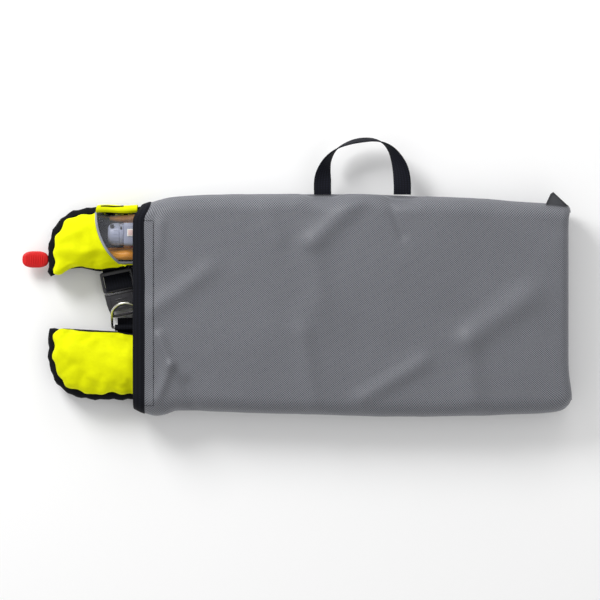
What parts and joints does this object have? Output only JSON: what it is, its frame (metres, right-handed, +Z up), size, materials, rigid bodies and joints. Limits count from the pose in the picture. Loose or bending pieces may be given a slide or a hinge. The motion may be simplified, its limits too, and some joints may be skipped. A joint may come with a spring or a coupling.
{
  "type": "life jacket",
  "caption": "Inflatable horseshoe life jacket with front window, belt, side-release buckle and pull toggle, slid into a flat mesh-fabric stowage bag with a carry handle.",
  "frame": {"origin": "middle of the bag's flat underside, on the plane that it lies on", "axes": "+X from the bag's mouth to its closed end, +Y towards the carry handle, +Z up from the ground through the bag's thickness"},
  "size_m": [0.8266, 0.4155, 0.0715],
  "materials": {
    "grey_mesh_fabric": "matt",
    "black_webbing": "matt",
    "hook_and_loop": "matt",
    "yellow_cloth": "satin",
    "black_cloth": "matt",
    "reflective_piping": "satin",
    "clear_film": "gloss",
    "orange_coated_cloth": "satin",
    "grey_plastic": "satin",
    "black_plastic": "satin",
    "orange_plastic": "satin",
    "white_paper": "matt",
    "green_plastic": "satin",
    "red_plastic": "gloss",
    "red_cord": "matt",
    "stainless_steel": "polished",
    "zinc_plated_steel": "satin"
  },
  "bodies": {
    "bag": {"bag_front_panel": "grey_mesh_fabric", "bag_back_panel": "grey_mesh_fabric", "bag_end_gusset": "grey_mesh_fabric", "bag_mouth_binding": "black_webbing", "hook_strip": "hook_and_loop", "loop_strip": "hook_and_loop"},
    "handle": {"carry_handle": "black_webbing"},
    "jacket": {"cover_back": "black_cloth", "cover_upper_lobe": "yellow_cloth", "cover_lower_lobe": "yellow_cloth", "cover_collar": "yellow_cloth", "closure_tab": "yellow_cloth", "window_piping": "reflective_piping", "window_pane": "clear_film", "bladder": "orange_coated_cloth", "bladder_manifold": "black_plastic", "manifold_nut": "stainless_steel", "status_indicator": "green_plastic", "inflator_body": "grey_plastic", "sensor_bobbin": "white_paper", "lever_pin": "stainless_steel", "oral_flange": "black_plastic", "oral_tube": "black_plastic", "oral_valve": "orange_plastic", "whistle": "orange_plastic", "whistle_cord": "black_webbing", "belt_upper": "black_webbing", "buckle_male": "black_plastic", "buckle_female": "black_plastic", "belt_lower": "black_webbing", "d_ring_keeper": "black_webbing", "belt_side_upper": "black_webbing", "belt_side_lower": "black_webbing", "rear_belt": "black_webbing", "back_strap": "black_webbing", "back_patch": "black_cloth"},
    "pull": {"pull_toggle": "red_plastic", "pull_lanyard": "red_cord"},
    "lever": {"firing_lever": "red_plastic"},
    "firing_pin": {"firing_pin": "stainless_steel"},
    "sensor_cap": {"sensor_cap": "grey_plastic"},
    "gas_cylinder": {"co2_cylinder": "zinc_plated_steel"},
    "dust_cap": {"dust_cap": "black_plastic"},
    "prong_left": {"buckle_prong_left": "black_plastic"},
    "prong_right": {"buckle_prong_right": "black_plastic"},
    "ring": {"d_ring": "stainless_steel"},
    "slider": {"belt_slider": "black_plastic"}
  },
  "joints": [
    {"name": "jacket_slide", "type": "slide", "parent": "bag", "child": "jacket", "axis": [1, 0, 0], "range_m": [-0.455, 0.17]},
    {"name": "handle_swing", "type": "hinge", "parent": "bag", "child": "handle", "pos_m": [0.014, 0.1691, 0.035], "axis": [1, 0, 0], "range_deg": [-15, 100]},
    {"name": "toggle_pull", "type": "slide", "parent": "jacket", "child": "pull", "axis": [-1, 0, 0], "range_m": [0, 0.045]},
    {"name": "lever_swing", "type": "hinge", "parent": "jacket", "child": "lever", "pos_m": [-0.33, 0.102, 0.02], "axis": [0, 0, -1], "range_deg": [0, 86]},
    {"name": "firing_pin_slide", "type": "slide", "parent": "jacket", "child": "firing_pin", "axis": [1, 0, 0], "range_m": [0, 0.0051]},
    {"name": "sensor_cap_turn", "type": "hinge", "parent": "jacket", "child": "sensor_cap", "pos_m": [-0.344, 0.108, 0.0386], "axis": [1, 0, 0], "continuous": true},
    {"name": "gas_cylinder_turn", "type": "hinge", "parent": "jacket", "child": "gas_cylinder", "pos_m": [-0.292, 0.108, 0.0386], "axis": [1, 0, 0], "continuous": true},
    {"name": "dust_cap_pull", "type": "slide", "parent": "jacket", "child": "dust_cap", "axis": [-1, 0, 0], "range_m": [0, 0.012]},
    {"name": "prong_left_squeeze", "type": "hinge", "parent": "jacket", "child": "prong_left", "pos_m": [-0.36492, 0.0192, 0.016], "axis": [0, 0, 1], "range_deg": [0, 8], "stiffness_Nm_per_rad": 0.2},
    {"name": "prong_right_squeeze", "type": "hinge", "parent": "jacket", "child": "prong_right", "pos_m": [-0.33753, 0.02502, 0.016], "axis": [0, 0, -1], "range_deg": [0, 8], "stiffness_Nm_per_rad": 0.2},
    {"name": "ring_swing", "type": "hinge", "parent": "jacket", "child": "ring", "pos_m": [-0.341, -0.033, 0.0154], "axis": [1, 0, 0], "range_deg": [0, 60]},
    {"name": "slider_slide", "type": "slide", "parent": "jacket", "child": "slider", "axis": [1, 0, 0], "range_m": [-0.03, 0.03]}
  ],
  "couplings": [
    {"joint": "lever_swing", "follows": "toggle_pull", "rad_per_m": 33},
    {"joint": "firing_pin_slide", "follows": "toggle_pull", "ratio": 0.1111},
    {"joint": "prong_right_squeeze", "follows": "prong_left_squeeze", "ratio": 1}
  ]
}
